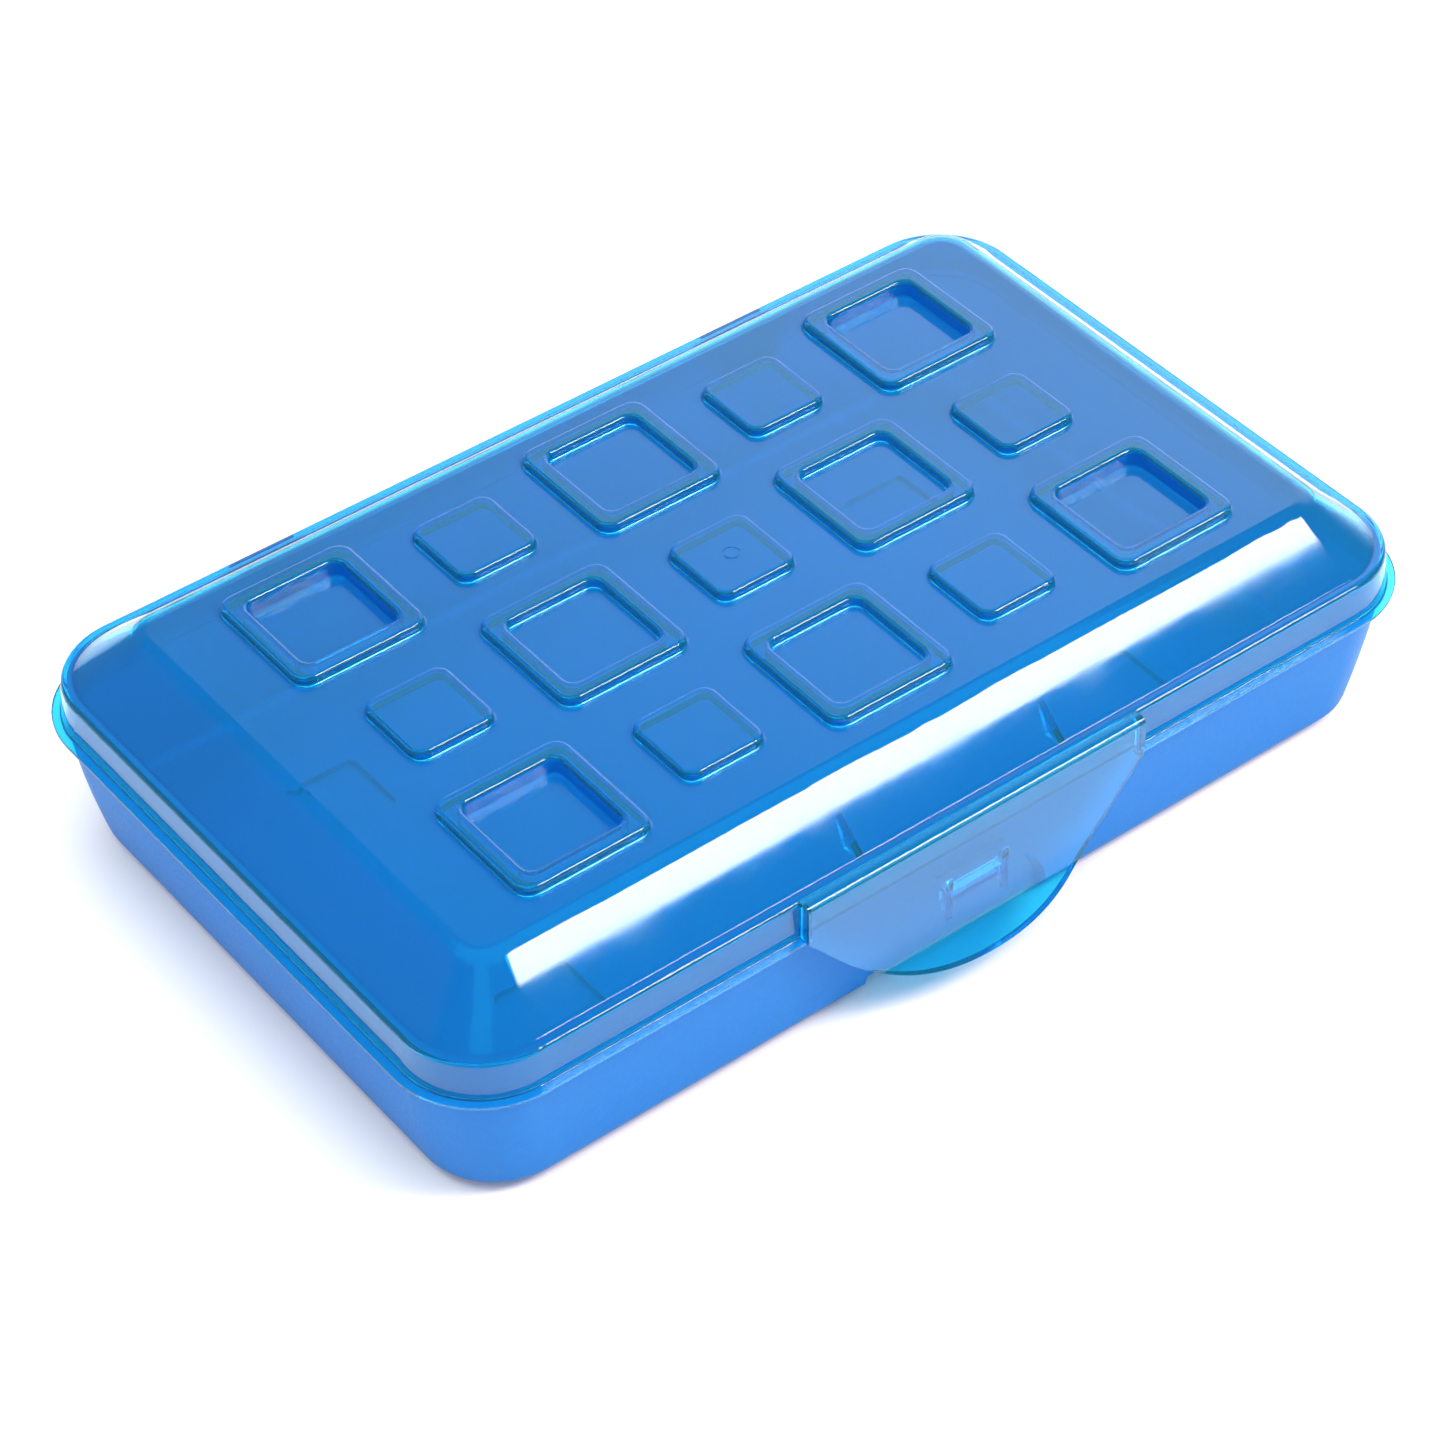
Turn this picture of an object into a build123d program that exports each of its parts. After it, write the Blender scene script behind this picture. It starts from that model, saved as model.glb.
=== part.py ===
from build123d import *
import os

# Snap-lid pencil case in millimetres: a moulded tray and a moulded lid with a sprung latch tab.
# +Z is up and the latch faces -Y. The origin is the middle of the plane that the feet rest on.

os.makedirs("parts", exist_ok=True)

# Square grid that the lid panels and the stacking feet are laid out on
pitch = 50.8
columns = 5
rows = 3
centre_column = columns // 2
centre_row = rows // 2

# Heights above the resting plane
total_height = 75.0
panel_rise = 2.8
deck_height = total_height - panel_rise
ledge_height = 56.1
lip_height = 43.0
shoulder_height = lip_height - 0.3
foot_height = 2.0

# Wall thicknesses, the gap that keeps separate bodies apart, and how deep joined features overlap
wall = 1.8
skirt_wall = 1.6
gap = 0.35
bite = 0.5

# Lid plan sizes: width, depth, corner radius
lip_plan = (340.0, 213.0, 28.0)
skirt_foot_plan = (334.8, 208.4, 25.4)
ledge_plan = (332.4, 206.4, 25.0)
dome_foot_plan = (326.4, 200.4, 22.7)
dome_top_plan = (292.0, 164.0, 10.0)
lip_thickness = 1.2
lip_radius = 0.5
skirt_foot_radius = 0.7
shoulder_radius = 8.0
ledge_radius = 1.7
dome_foot_radius = 0.9
slope_inset = 2.6

# Tray plan sizes
tray_half_width = 166.2
tray_half_depth = 102.2
tray_corner = 23.0
rim_plan = (328.4, 202.4, 22.0)
rim_height = ledge_height - skirt_wall - gap
floor_height = foot_height + wall
floor_edge_radius = 4.0
floor_inner_radius = 3.0
tray_waists = (14.0, 28.0)

# Raised panels on the lid
frame_side = 42.6
frame_corner = 5.0
recess_side = 31.0
recess_corner = 3.0
recess_depth = 5.0
plate_side = 27.0
plate_corner = 4.5
panel_round = 1.3
panel_foot_radius = 0.8
gate_radius = 2.6
gate_groove = 0.5
gate_depth = 0.25

# Stacking feet, which drop into the deep recesses of a case below
foot_side = 27.0
foot_corner = 4.0

# Ribs inside the lid's front slope, either side of the latch
rib_offset = 35.0
rib_width = 2.2
rib_depth = 7.0
rib_top_y = -88.5
rib_top_height = 65.5

# Latch tab
tab_half_width = 58.4
tab_thickness = 1.6
tab_top = ledge_height - tab_thickness / 2
tab_flex_y = -103.0
tab_plate_y = -106.3
tab_corner_radius = 1.3
lip_bend_height = 20.0
lip_bend_radius = 14.0
lip_tip_y = -113.9
lip_tip_height = 10.4
groove_radius = 0.88
groove_mouth_y = -102.45
notch_reach = 20.0
cheek_inner_y = -103.7
hook_width = 22.0
hook_rib_width = 2.4
hook_rib_bottom = 22.0
hook_rib_top = 37.0
hook_ridge_bottom = 27.5
hook_ridge_top = 31.5
hook_nose = 1.0

# Lower outline of the tab, from its middle out to the skirt
tab_outline = ((0, 10.8), (24, 14.1), (38, 21), (48, 31))

# Catch on the tray's front wall, under which the hook snaps
catch_height = 34.5
catch_rise = 2.0
catch_reach = 1.0
catch_root = 5.0
catch_width = hook_width + 2.0

# Finger scoop in the tray's front wall
scoop_half_width = 33.0
scoop_top = 33.0
scoop_depth = 9.5
scoop_mouth_y = -104.0
scoop_spring = 6.0
scoop_taper = 14

# Hinge at the back
hinge_y = 109.6
hinge_height = 42.0
hinge_offset = 85.0
pin_radius = 1.5
pin_clearance = 0.06
clip_radius = 2.9
clip_width = 20.0
clip_top = 42.4
clip_gusset_bottom = 30.0
clip_mouth = 2.2
clip_root_y = 98.0
arm_width = 3.5
arm_gap = 0.4
arm_radius = 2.4
arm_flat = 0.1
arm_root_y = 103.0
arm_root_top = 47.0


def end_inset(drop):
    """How far the bowed end walls stand in, at a drop below the shoulder."""
    return 0.06 * drop + 0.0025 * drop**2


def side_inset(drop):
    """How far the drafted long walls stand in, at a drop below the shoulder."""
    return 0.105 * drop


def tray_plan(height, inset):
    """Width, depth and corner radius of the tray at a height, drawn in by an inset."""
    drop = shoulder_height - height
    width = 2 * (tray_half_width - end_inset(drop) - inset)
    depth = 2 * (tray_half_depth - side_inset(drop) - inset)
    return width, depth, tray_corner - inset


def inner_plan(plan, inset):
    """A plan size drawn in by an inset all round."""
    width, depth, corner = plan
    return width - 2 * inset, depth - 2 * inset, corner - inset


def cell_centre(column, row):
    """Centre of a cell of the square grid."""
    return (column - centre_column) * pitch, (row - centre_row) * pitch


cells = [(column, row) for column in range(columns) for row in range(rows)]
frame_cells = [cell_centre(*cell) for cell in cells if sum(cell) % 2 == 0]
plate_cells = [cell_centre(*cell) for cell in cells if sum(cell) % 2 == 1]
corner_cells = [cell_centre(column, row) for column in (0, columns - 1) for row in (0, rows - 1)]

# ---------------------------------------------------------------- base tray
tray_levels = (foot_height, *tray_waists, shoulder_height)
void_levels = (floor_height, *tray_waists, shoulder_height - wall)


def scoop_block(margin):
    """Arch-topped block that hollows the front wall, grown by a margin."""
    side = scoop_half_width + margin
    with BuildPart() as block:
        with BuildSketch(Plane.XZ.offset(-scoop_mouth_y)):
            with BuildLine():
                Polyline((-side, scoop_spring), (-side, -1), (side, -1), (side, scoop_spring))
                ThreePointArc((side, scoop_spring), (0, scoop_top + margin), (-side, scoop_spring))
            make_face()
        extrude(amount=-(scoop_depth + margin), taper=scoop_taper)
    return block.part


with BuildPart() as tray_void:
    for height in void_levels:
        with BuildSketch(Plane.XY.offset(height)):
            RectangleRounded(*tray_plan(height, wall))
    loft()
    fillet(tray_void.edges().group_by(Axis.Z)[0], floor_inner_radius)
    with BuildSketch(Plane.XY.offset(shoulder_height - wall)):
        RectangleRounded(*inner_plan(rim_plan, wall))
    extrude(amount=rim_height - shoulder_height + wall)
    add(scoop_block(wall), mode=Mode.SUBTRACT)

with BuildPart() as tray_block:
    for height in tray_levels:
        with BuildSketch(Plane.XY.offset(height)):
            RectangleRounded(*tray_plan(height, 0))
    loft()
    fillet(tray_block.edges().group_by(Axis.Z)[0], floor_edge_radius)
    with BuildSketch(Plane.XY.offset(shoulder_height)):
        RectangleRounded(*rim_plan)
    extrude(amount=rim_height - shoulder_height)

with BuildPart() as base_tray:
    add(tray_block.part)
    with BuildSketch():
        with Locations(*corner_cells):
            RectangleRounded(foot_side, foot_side, foot_corner)
    extrude(amount=floor_height - bite)
    add(scoop_block(0), mode=Mode.SUBTRACT)
    add(tray_void.part, mode=Mode.SUBTRACT)
    with BuildSketch(Plane.XY.offset(wall)):
        with Locations(*corner_cells):
            RectangleRounded(*inner_plan((foot_side, foot_side, foot_corner), wall))
    extrude(amount=foot_height, mode=Mode.SUBTRACT)

base_tray.part.label = "base_tray"
export_step(base_tray.part, "parts/base_tray.step")

# ---------------------------------------------------------------- front catch
catch_face_y = -tray_half_depth + side_inset(shoulder_height - catch_height) - catch_reach

with BuildPart() as front_catch:
    with BuildSketch(Plane.YZ.offset(-catch_width / 2)):
        Polygon(
            (catch_face_y, catch_height),
            (catch_face_y + catch_root, catch_height),
            (catch_face_y + catch_root, catch_height + 2 * catch_rise),
            (catch_face_y, catch_height + catch_rise / 2),
            align=None,
        )
    extrude(amount=catch_width)
    add(tray_block.part, mode=Mode.SUBTRACT)

front_catch.part.label = "front_catch"
export_step(front_catch.part, "parts/front_catch.step")

# ---------------------------------------------------------------- lid shell
slope_rise = deck_height - ledge_height
under_ledge = ledge_height - skirt_wall
under_deck = deck_height - wall


def dome_plan(height, inset):
    """Plan size of the sloping dome at a height, drawn in by an inset."""
    share = (height - ledge_height) / slope_rise
    sizes = [foot + (top - foot) * share for foot, top in zip(dome_foot_plan, dome_top_plan)]
    return inner_plan(sizes, inset)


def panel(centre, side, corner, base, top):
    """Square raised panel with a rounded upper edge."""
    with BuildPart() as block:
        with BuildSketch(Plane.XY.offset(base)):
            with Locations(centre):
                RectangleRounded(side, side, corner)
        extrude(amount=top - base)
        fillet(block.edges().group_by(Axis.Z)[-1], panel_round)
    return block.part


def frame_panel(centre):
    """Square raised frame, rounded on both sides of its flat top."""
    with BuildPart() as ring:
        with BuildSketch(Plane.XY.offset(deck_height - bite)):
            with Locations(centre):
                RectangleRounded(frame_side, frame_side, frame_corner)
                RectangleRounded(recess_side, recess_side, recess_corner, mode=Mode.SUBTRACT)
        extrude(amount=panel_rise + bite)
        fillet(ring.edges().group_by(Axis.Z)[-1], panel_round)
    return ring.part


with BuildPart() as lid_void:
    for height, plan in ((lip_height - bite, skirt_foot_plan), (under_ledge, ledge_plan)):
        with BuildSketch(Plane.XY.offset(height)):
            RectangleRounded(*inner_plan(plan, skirt_wall))
    loft(ruled=True)
    for height in (under_ledge - bite, under_deck):
        with BuildSketch(Plane.XY.offset(height)):
            RectangleRounded(*dome_plan(height, slope_inset))
    loft(ruled=True)
    fillet(lid_void.edges().group_by(Axis.Z)[-1], shoulder_radius - wall)
    with BuildSketch(Plane.XY.offset(under_deck - bite)):
        with Locations(*plate_cells):
            RectangleRounded(*inner_plan((plate_side, plate_side, plate_corner), wall))
        with Locations(*frame_cells):
            RectangleRounded(*inner_plan((frame_side, frame_side, frame_corner), wall))
            RectangleRounded(
                *inner_plan((recess_side, recess_side, recess_corner), -wall),
                mode=Mode.SUBTRACT,
            )
    extrude(amount=panel_rise + bite)
    with BuildSketch(Plane.XY.offset(total_height - recess_depth - wall)):
        with Locations(*corner_cells):
            RectangleRounded(*inner_plan((recess_side, recess_side, recess_corner), -wall))
    extrude(amount=recess_depth, mode=Mode.SUBTRACT)


def level_faces(part, height):
    """Flat faces of a part at one height, the largest first."""
    faces = part.faces().filter_by(Plane.XY).filter_by_position(Axis.Z, height - gap, height + gap)
    return faces.sort_by(SortBy.AREA, reverse=True)


with BuildPart() as lid_shell:
    for height, plan in ((lip_height, skirt_foot_plan), (ledge_height, ledge_plan)):
        with BuildSketch(Plane.XY.offset(height)):
            RectangleRounded(*plan)
    loft(ruled=True)
    fillet(lid_shell.edges().group_by(Axis.Z)[-1], ledge_radius)
    with BuildSketch(Plane.XY.offset(lip_height)):
        RectangleRounded(*lip_plan)
    extrude(amount=lip_thickness)
    lip_top = level_faces(lid_shell, lip_height + lip_thickness)[0]
    fillet(lip_top.inner_wires()[0].edges(), skirt_foot_radius)
    fillet(lid_shell.edges().group_by(Axis.Z)[0], lip_radius)
    for height in (ledge_height - bite, deck_height):
        with BuildSketch(Plane.XY.offset(height)):
            RectangleRounded(*dome_plan(height, 0))
    loft(ruled=True)
    fillet(lid_shell.edges().group_by(Axis.Z)[-1], shoulder_radius)
    ledge_face = level_faces(lid_shell, ledge_height)[0]
    fillet(ledge_face.inner_wires()[0].edges(), dome_foot_radius)
    for centre in frame_cells:
        add(frame_panel(centre))
    for centre in plate_cells:
        add(panel(centre, plate_side, plate_corner, deck_height - bite, total_height))
    with BuildSketch(Plane.XY.offset(total_height - recess_depth)):
        with Locations(*corner_cells):
            RectangleRounded(recess_side, recess_side, recess_corner)
    extrude(amount=recess_depth, mode=Mode.SUBTRACT)
    deck_face, *recess_floors = level_faces(lid_shell, deck_height)
    panel_feet = [wire.edges() for wire in deck_face.inner_wires()]
    panel_feet += [floor.outer_wire().edges() for floor in recess_floors]
    fillet([edge for foot in panel_feet for edge in foot], panel_foot_radius)
    with BuildSketch(Plane.XY.offset(total_height)):
        Circle(gate_radius)
        Circle(gate_radius - gate_groove, mode=Mode.SUBTRACT)
    extrude(amount=-gate_depth, mode=Mode.SUBTRACT)
    add(lid_void.part, mode=Mode.SUBTRACT)
    with Locations((0, groove_mouth_y, lip_height)):
        Box(
            2 * (tab_half_width + gap),
            notch_reach,
            2 * notch_reach,
            align=(Align.CENTER, Align.MAX, Align.CENTER),
            mode=Mode.SUBTRACT,
        )
    with Locations((0, tab_flex_y, tab_top)):
        Cylinder(
            groove_radius,
            2 * (tab_half_width + gap),
            rotation=(0, 90, 0),
            mode=Mode.SUBTRACT,
        )
    for x in (-rib_offset, rib_offset):
        with BuildSketch(Plane.YZ.offset(x - rib_width / 2)):
            Polygon(
                (-dome_foot_plan[1] / 2 + bite, under_ledge),
                (-dome_foot_plan[1] / 2 + rib_depth, under_ledge),
                (rib_top_y, rib_top_height),
                align=None,
            )
        extrude(amount=rib_width)

lid_shell.part.label = "lid_shell"
export_step(lid_shell.part, "parts/lid_shell.step")

# ---------------------------------------------------------------- latch tab and its hook
tab_length = 2 * tab_half_width
tab_left_outline = [(-x, height) for x, height in tab_outline[:0:-1]]
tab_inner_y = tab_plate_y + tab_thickness / 2
hook_root_y = tab_inner_y - bite
hook_tip_y = catch_face_y - gap

with BuildPart() as latch_tab:
    with BuildSketch(Plane.YZ.offset(-tab_half_width)):
        with BuildLine() as centre_line:
            FilletPolyline(
                (tab_flex_y, tab_top),
                (tab_plate_y, tab_top),
                (tab_plate_y, lip_bend_height),
                (lip_tip_y, lip_tip_height),
                radius=[tab_corner_radius, lip_bend_radius],
            )
            offset(centre_line.line, amount=tab_thickness / 2, side=Side.BOTH, mode=Mode.REPLACE)
        make_face()
    extrude(amount=tab_length)
    with Locations((0, (tab_plate_y + cheek_inner_y) / 2, tab_top)):
        with GridLocations(tab_length - tab_thickness, 0, 2, 1):
            Box(
                tab_thickness,
                cheek_inner_y - tab_plate_y,
                tab_top - lip_height,
                align=(Align.CENTER, Align.CENTER, Align.MAX),
            )
    with BuildSketch(Plane.XZ.offset(-tab_flex_y - notch_reach / 2)):
        with BuildLine():
            Polyline(
                (-tab_half_width, lip_height),
                (-tab_half_width, total_height),
                (tab_half_width, total_height),
                (tab_half_width, lip_height),
            )
            Spline(
                (-tab_half_width, lip_height),
                *tab_left_outline,
                *tab_outline,
                (tab_half_width, lip_height),
            )
        make_face()
    extrude(amount=2 * notch_reach, mode=Mode.INTERSECT)
    with BuildSketch(Plane.YZ.offset(-hook_width / 2 + hook_rib_width)):
        Polygon(
            (hook_root_y, hook_ridge_bottom),
            (hook_tip_y, hook_ridge_top - hook_nose),
            (hook_tip_y, hook_ridge_top),
            (hook_root_y, hook_ridge_top),
            align=None,
        )
    extrude(amount=hook_width - 2 * hook_rib_width)
    for x in (-hook_width / 2, hook_width / 2 - hook_rib_width):
        with BuildSketch(Plane.YZ.offset(x)):
            Polygon(
                (hook_root_y, hook_rib_bottom),
                (tab_inner_y, hook_rib_bottom),
                (hook_tip_y, hook_ridge_bottom),
                (hook_tip_y, hook_ridge_top),
                (tab_inner_y, hook_rib_top),
                (hook_root_y, hook_rib_top),
                align=None,
            )
        extrude(amount=hook_rib_width)

latch_tab.part.label = "latch_tab"
export_step(latch_tab.part, "parts/latch_tab.step")

# ---------------------------------------------------------------- hinge clips on the tray
clip_centres = (-hinge_offset, hinge_offset)

with BuildPart() as hinge_clips:
    for x in clip_centres:
        with BuildSketch(Plane.YZ.offset(x - clip_width / 2)):
            with Locations((hinge_y, hinge_height)):
                Circle(clip_radius)
            Polygon(
                (clip_root_y, clip_top),
                (clip_root_y, clip_gusset_bottom),
                (hinge_y - bite, hinge_height - clip_radius),
                (hinge_y, clip_top),
                align=None,
            )
            with Locations((hinge_y, hinge_height)):
                Circle(pin_radius + pin_clearance, mode=Mode.SUBTRACT)
            with Locations((hinge_y + clip_radius, hinge_height)):
                Rectangle(2 * clip_radius, clip_mouth, mode=Mode.SUBTRACT)
        extrude(amount=clip_width)
    add(tray_block.part, mode=Mode.SUBTRACT)

hinge_clips.part.label = "hinge_clips"
export_step(hinge_clips.part, "parts/hinge_clips.step")

# ---------------------------------------------------------------- hinge arms and pins on the lid
pin_length = clip_width + 2 * arm_gap
arm_centres = [
    x + side * (pin_length + arm_width) / 2 for x in clip_centres for side in (-1, 1)
]

with BuildPart() as hinge_arms:
    for x in arm_centres:
        with BuildSketch(Plane.YZ.offset(x - arm_width / 2)):
            with Locations((hinge_y, hinge_height)):
                Circle(arm_radius)
            Polygon(
                (hinge_y - arm_radius, hinge_height),
                (hinge_y + bite, hinge_height + arm_radius - arm_flat),
                (arm_root_y, arm_root_top),
                (arm_root_y, lip_height + bite),
                (lip_plan[1] / 2 - bite, lip_height + bite),
                align=None,
            )
        extrude(amount=arm_width)
    add(lid_shell.part, mode=Mode.SUBTRACT)

hinge_arms.part.label = "hinge_arms"
export_step(hinge_arms.part, "parts/hinge_arms.step")

with BuildPart() as hinge_pins:
    with Locations(*[(x, hinge_y, hinge_height) for x in clip_centres]):
        Cylinder(pin_radius, pin_length, rotation=(0, 90, 0))

hinge_pins.part.label = "hinge_pins"
export_step(hinge_pins.part, "parts/hinge_pins.step")
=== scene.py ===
import math

import bpy
from mathutils import Matrix, Vector


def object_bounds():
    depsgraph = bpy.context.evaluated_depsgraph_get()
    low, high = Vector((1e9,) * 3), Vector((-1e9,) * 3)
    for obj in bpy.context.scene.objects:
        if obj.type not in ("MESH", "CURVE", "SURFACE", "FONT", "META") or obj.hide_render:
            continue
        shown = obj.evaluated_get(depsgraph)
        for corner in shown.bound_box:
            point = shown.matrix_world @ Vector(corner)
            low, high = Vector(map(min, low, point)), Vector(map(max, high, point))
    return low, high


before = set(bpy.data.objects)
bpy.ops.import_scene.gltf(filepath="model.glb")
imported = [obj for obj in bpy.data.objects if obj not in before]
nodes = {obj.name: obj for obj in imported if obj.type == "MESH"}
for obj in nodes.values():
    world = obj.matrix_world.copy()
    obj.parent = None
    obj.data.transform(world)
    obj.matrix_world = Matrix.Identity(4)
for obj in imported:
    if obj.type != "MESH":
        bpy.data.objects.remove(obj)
cad_low, cad_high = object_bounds()


# ---------------------------------------------------------------- node helpers
def new_material(name):
    """An empty node material and its tree, with an output node."""
    material = bpy.data.materials.new(name)
    material.use_nodes = True
    tree = material.node_tree
    tree.nodes.clear()
    tree.nodes.new("ShaderNodeOutputMaterial")
    return material, tree


def noise(tree, scale, detail, roughness=0.5):
    """Noise in the row frame, so that it sits still on the part."""
    place = tree.nodes.new("ShaderNodeTexCoord")
    texture = tree.nodes.new("ShaderNodeTexNoise")
    texture.inputs["Scale"].default_value = scale
    texture.inputs["Detail"].default_value = detail
    texture.inputs["Roughness"].default_value = roughness
    tree.links.new(place.outputs["Object"], texture.inputs["Vector"])
    return texture.outputs["Fac"]


def between(tree, factor, low, high):
    """A number that runs from low to high as the factor runs from 0.3 to 0.7."""
    node = tree.nodes.new("ShaderNodeMapRange")
    node.inputs["From Min"].default_value = 0.3
    node.inputs["From Max"].default_value = 0.7
    node.inputs["To Min"].default_value = low
    node.inputs["To Max"].default_value = high
    tree.links.new(factor, node.inputs["Value"])
    return node.outputs["Result"]


def colour_between(tree, factor, low, high):
    """A colour that runs from low to high with the factor."""
    node = tree.nodes.new("ShaderNodeMix")
    node.data_type = "RGBA"
    node.inputs["A"].default_value = (*low, 1)
    node.inputs["B"].default_value = (*high, 1)
    tree.links.new(factor, node.inputs["Factor"])
    return node.outputs["Result"]


def bump(tree, height, strength, distance):
    """A bump from a height signal."""
    node = tree.nodes.new("ShaderNodeBump")
    node.inputs["Strength"].default_value = strength
    node.inputs["Distance"].default_value = distance
    tree.links.new(height, node.inputs["Height"])
    return node.outputs["Normal"]


def absorb(tree, colour, density):
    """Tints the plastic by its depth."""
    node = tree.nodes.new("ShaderNodeVolumeAbsorption")
    node.inputs["Color"].default_value = (*colour, 1)
    node.inputs["Density"].default_value = density
    output = tree.nodes["Material Output"]
    tree.links.new(node.outputs["Volume"], output.inputs["Volume"])


def principled(tree):
    """A Principled shader on the tree's output."""
    shader = tree.nodes.new("ShaderNodeBsdfPrincipled")
    tree.links.new(shader.outputs["BSDF"], tree.nodes["Material Output"].inputs["Surface"])
    return shader


# ---------------------------------------------------------------- plastics
plastic_ior = 1.49
lid_clearness = 0.92
lid_shine = 0.35
lid_tint = ((0.04, 0.67, 0.98), (0.05, 0.70, 1.0))
lid_absorption = (0.0, 0.85, 0.995)
lid_density = 240
lid_haze = (0.02, 0.035)
ripple_strength = 0.01
ripple_depth = 0.0006
tray_clearness = 0.4
tray_shine = 0.05
tray_tint = ((0.002, 0.22, 0.70), (0.004, 0.26, 0.77))
tray_absorption = (0.0, 0.55, 0.98)
tray_density = 300
tray_matte = (0.32, 0.48)
grain_strength = 0.35
grain_depth = 0.0002


def lid_plastic():
    """Clear glossy polypropylene: faint moulding ripple, fine haze and a deep blue body."""
    material, tree = new_material("lid_plastic_look")
    shader = principled(tree)
    shader.inputs["Transmission Weight"].default_value = lid_clearness
    shader.inputs["Specular IOR Level"].default_value = lid_shine
    shader.inputs["IOR"].default_value = plastic_ior
    tint = colour_between(tree, noise(tree, 9, 3), *lid_tint)
    tree.links.new(tint, shader.inputs["Base Color"])
    haze = between(tree, noise(tree, 60, 4), *lid_haze)
    tree.links.new(haze, shader.inputs["Roughness"])
    ripple = bump(tree, noise(tree, 35, 2), ripple_strength, ripple_depth)
    tree.links.new(ripple, shader.inputs["Normal"])
    absorb(tree, lid_absorption, lid_density)
    return material


def tray_plastic():
    """Frosted polypropylene: spark-eroded grain outside and a milky blue body."""
    material, tree = new_material("tray_plastic_look")
    shader = principled(tree)
    shader.inputs["Transmission Weight"].default_value = tray_clearness
    shader.inputs["Specular IOR Level"].default_value = tray_shine
    shader.inputs["IOR"].default_value = plastic_ior
    grain = noise(tree, 1400, 2)
    tint = colour_between(tree, noise(tree, 300, 5, 0.7), *tray_tint)
    tree.links.new(tint, shader.inputs["Base Color"])
    matte = between(tree, grain, *tray_matte)
    tree.links.new(matte, shader.inputs["Roughness"])
    tree.links.new(bump(tree, grain, grain_strength, grain_depth), shader.inputs["Normal"])
    absorb(tree, tray_absorption, tray_density)
    return material


def paint(material, names):
    """Gives these CAD nodes one material."""
    for name in names:
        mesh = nodes[name].data
        mesh.materials.clear()
        mesh.materials.append(material)


paint(lid_plastic(), ["lid_shell", "hinge_arms", "hinge_pins", "latch_tab"])
paint(tray_plastic(), ["base_tray", "front_catch", "hinge_clips"])

# ---------------------------------------------------------------- studio
# Each ramp is the place where it starts and ends, then its value at either end.
floor_side = 16.0
floor_gap = 0.0004
paper_white = ((0.88, 0.88, 0.88), (0.91, 0.91, 0.91))
paper_roughness = 0.9
room_radiance = 0.66
front_radiance = 0.95
front_band = (-0.8, 0.2)
gloss_rightward_ramp = (0.2, 0.65, 0.2, 2.0)
gloss_behind_ramp = (-0.1, 0.45, 0.02, 1.0)
gloss_below_ramp = (0.6, 0.76, 1.0, 0.02)
key_radiance = 2.6
key_side = 3.0
key_height = 2.2
strip_radiance = 24
strip_colour = (1.0, 0.80, 0.70)
strip_tilt = math.radians(44)
strip_edge = Vector((1.12, -1.495, 1.516))
strip_size = (0.86, 0.75)


def flat_square(name, side):
    """A flat square mesh, facing its own +Z."""
    half = side / 2
    mesh = bpy.data.meshes.new(name)
    corners = [(-half, -half, 0), (half, -half, 0), (half, half, 0), (-half, half, 0)]
    mesh.from_pydata(corners, [], [(0, 1, 2, 3)])
    square = bpy.data.objects.new(name, mesh)
    bpy.context.scene.collection.objects.link(square)
    return square


def product(tree, first, second):
    """Two signals multiplied."""
    node = tree.nodes.new("ShaderNodeMath")
    node.operation = "MULTIPLY"
    tree.links.new(first, node.inputs[0])
    tree.links.new(second, node.inputs[1])
    return node.outputs["Value"]


def gloss_share(tree):
    """One for a ray that a glossy surface has reflected, and nothing for any other."""
    path = tree.nodes.new("ShaderNodeLightPath")
    return product(tree, path.outputs["Is Glossy Ray"], path.outputs["Is Reflection Ray"])


def ramp(tree, value, start, end, low, high):
    """A smooth step of a signal from low to high."""
    node = tree.nodes.new("ShaderNodeMapRange")
    node.interpolation_type = "SMOOTHSTEP"
    node.inputs["From Min"].default_value = start
    node.inputs["From Max"].default_value = end
    node.inputs["To Min"].default_value = low
    node.inputs["To Max"].default_value = high
    tree.links.new(value, node.inputs["Value"])
    return node.outputs["Result"]


def studio_floor():
    """A plain sweep of matte white paper."""
    floor = flat_square("studio_floor", floor_side)
    floor.location.z = cad_low.z - floor_gap
    material, tree = new_material("floor_paper")
    shader = principled(tree)
    paper = colour_between(tree, noise(tree, 4, 2), *paper_white)
    tree.links.new(paper, shader.inputs["Base Color"])
    shader.inputs["Roughness"].default_value = paper_roughness
    shader.inputs["Specular IOR Level"].default_value = 0
    floor.data.materials.append(material)


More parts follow.
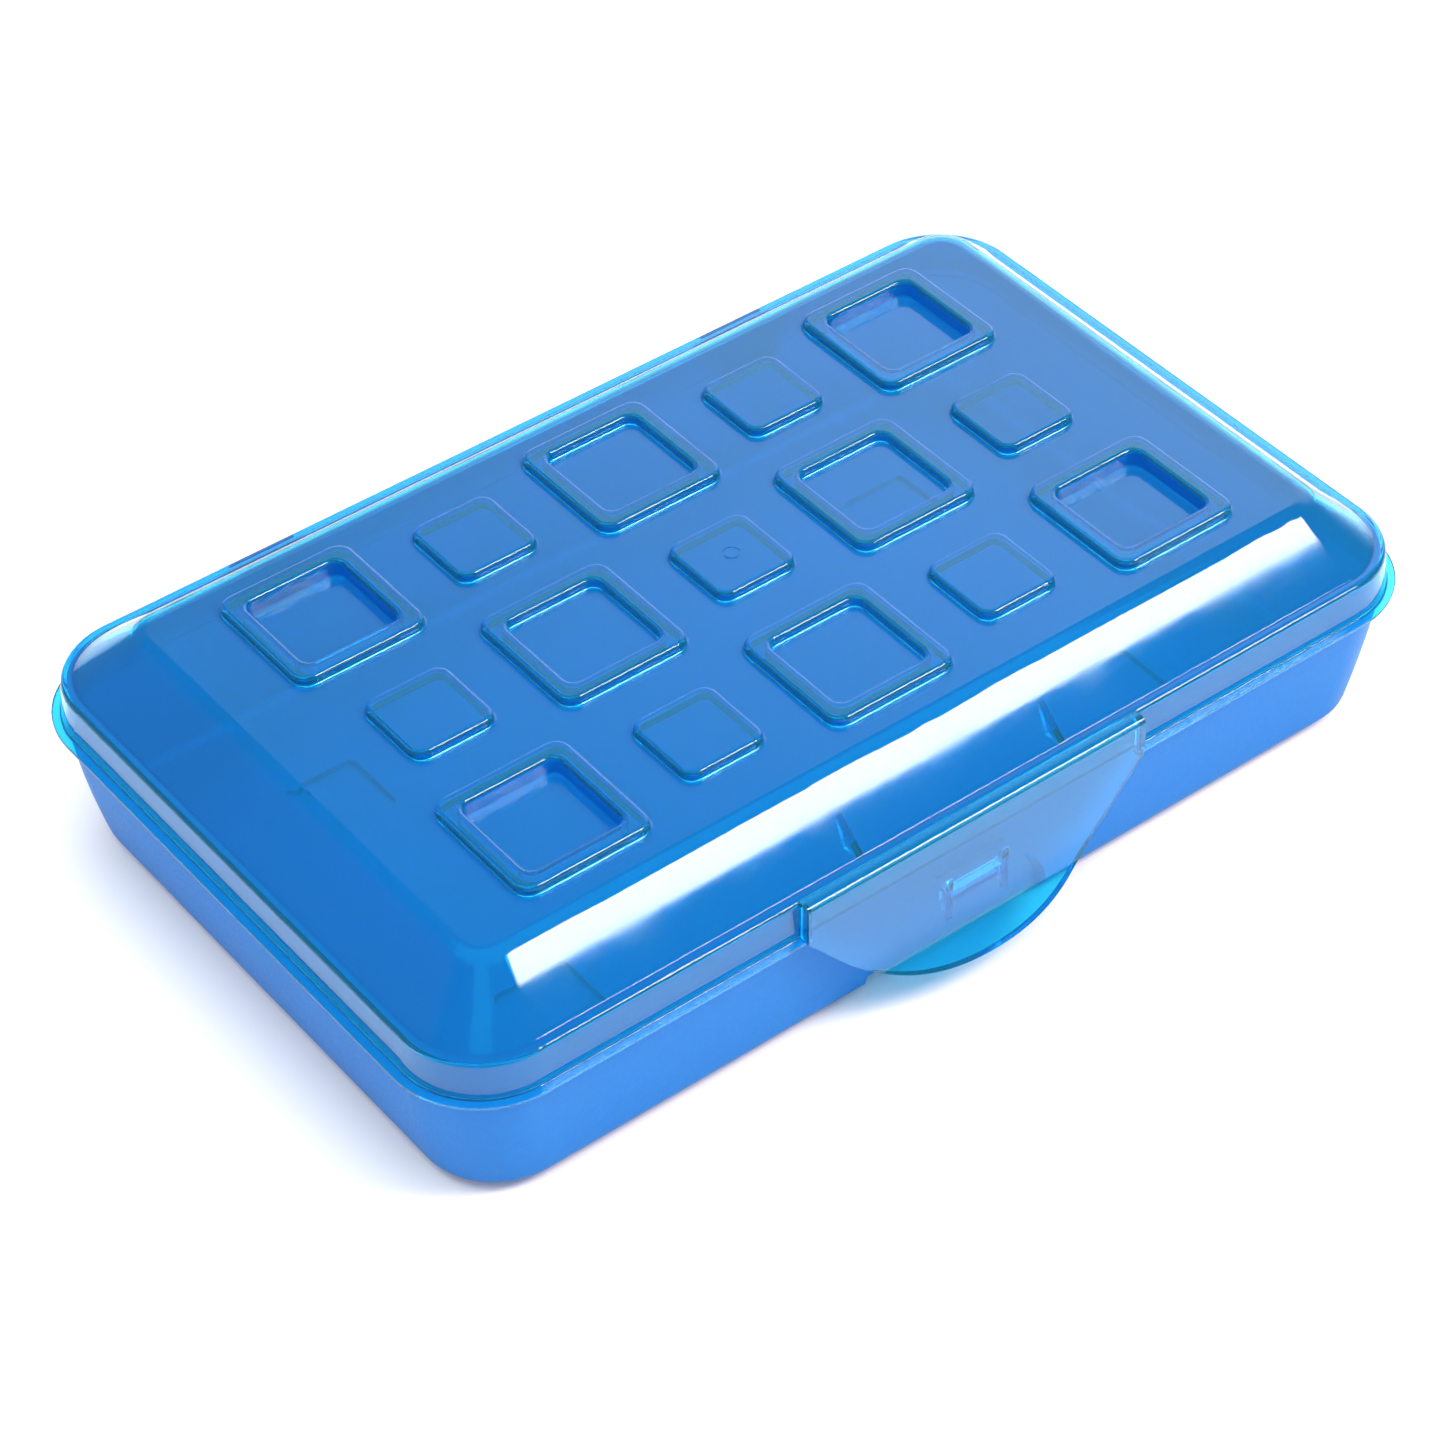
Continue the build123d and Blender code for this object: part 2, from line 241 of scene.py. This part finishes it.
def studio_world():
    """A white room, brighter in front, with a backdrop in gloss that is bright at the back right."""
    world = bpy.data.worlds.new("studio_world")
    world.use_nodes = True
    tree = world.node_tree
    place = tree.nodes.new("ShaderNodeTexCoord")
    axes = tree.nodes.new("ShaderNodeSeparateXYZ")
    tree.links.new(place.outputs["Generated"], axes.inputs["Vector"])
    rightward = ramp(tree, axes.outputs["X"], *gloss_rightward_ramp)
    behind = ramp(tree, axes.outputs["Y"], *gloss_behind_ramp)
    below = ramp(tree, axes.outputs["Z"], *gloss_below_ramp)
    room = tree.nodes.new("ShaderNodeMix")
    front_light = ramp(tree, axes.outputs["Y"], *front_band, front_radiance, room_radiance)
    tree.links.new(front_light, room.inputs["A"])
    glow = product(tree, rightward, product(tree, behind, below))
    tree.links.new(glow, room.inputs["B"])
    tree.links.new(gloss_share(tree), room.inputs["Factor"])
    backdrop = tree.nodes["Background"]
    backdrop.inputs["Color"].default_value = (1, 1, 1, 1)
    tree.links.new(room.outputs["Result"], backdrop.inputs["Strength"])
    bpy.context.scene.world = world


def softbox(name, place, tilt, size, radiance, colour):
    """A rectangular softbox that faces down, tipped back about X by the tilt."""
    data = bpy.data.lights.new(name, "AREA")
    data.shape = "RECTANGLE"
    data.size, data.size_y = size
    data.energy = radiance * math.pi * size[0] * size[1]
    data.color = colour
    lamp = bpy.data.objects.new(name, data)
    lamp.location = place
    lamp.rotation_euler = (tilt, 0, 0)
    bpy.context.scene.collection.objects.link(lamp)
    return lamp


studio_floor()
studio_world()
strip_up = Vector((0, math.cos(strip_tilt), math.sin(strip_tilt)))
strip_centre = strip_edge + strip_up * strip_size[1] / 2
softbox("strip_light", strip_centre, strip_tilt, strip_size, strip_radiance, strip_colour)
key_place = Vector((0, 0, key_height))
key = softbox("key_light", key_place, 0, (key_side, key_side), key_radiance, (1, 1, 1))
key.visible_glossy = False
bpy.context.scene.view_settings.view_transform = "Standard"

# ---------------------------------------------------------------- camera
camera_azimuth = math.radians(-37.13)
camera_elevation = math.radians(42.69)
camera_roll = math.radians(-1.05)
camera_distance = 1.1935
camera_aim = Vector((-0.0197, -0.0205, 0.0375))
camera_lens = 107.5
sensor_width = 36

away = Vector(
    (
        math.sin(camera_azimuth) * math.cos(camera_elevation),
        -math.cos(camera_azimuth) * math.cos(camera_elevation),
        math.sin(camera_elevation),
    )
)
camera_data = bpy.data.cameras.new("camera")
camera_data.lens = camera_lens
camera_data.sensor_width = sensor_width
camera = bpy.data.objects.new("camera", camera_data)
turn = (-away).to_track_quat("-Z", "Y").to_matrix().to_4x4()
roll = Matrix.Rotation(camera_roll, 4, "Z")
camera.matrix_world = Matrix.Translation(camera_aim + camera_distance * away) @ turn @ roll
bpy.context.scene.collection.objects.link(camera)
bpy.context.scene.camera = camera
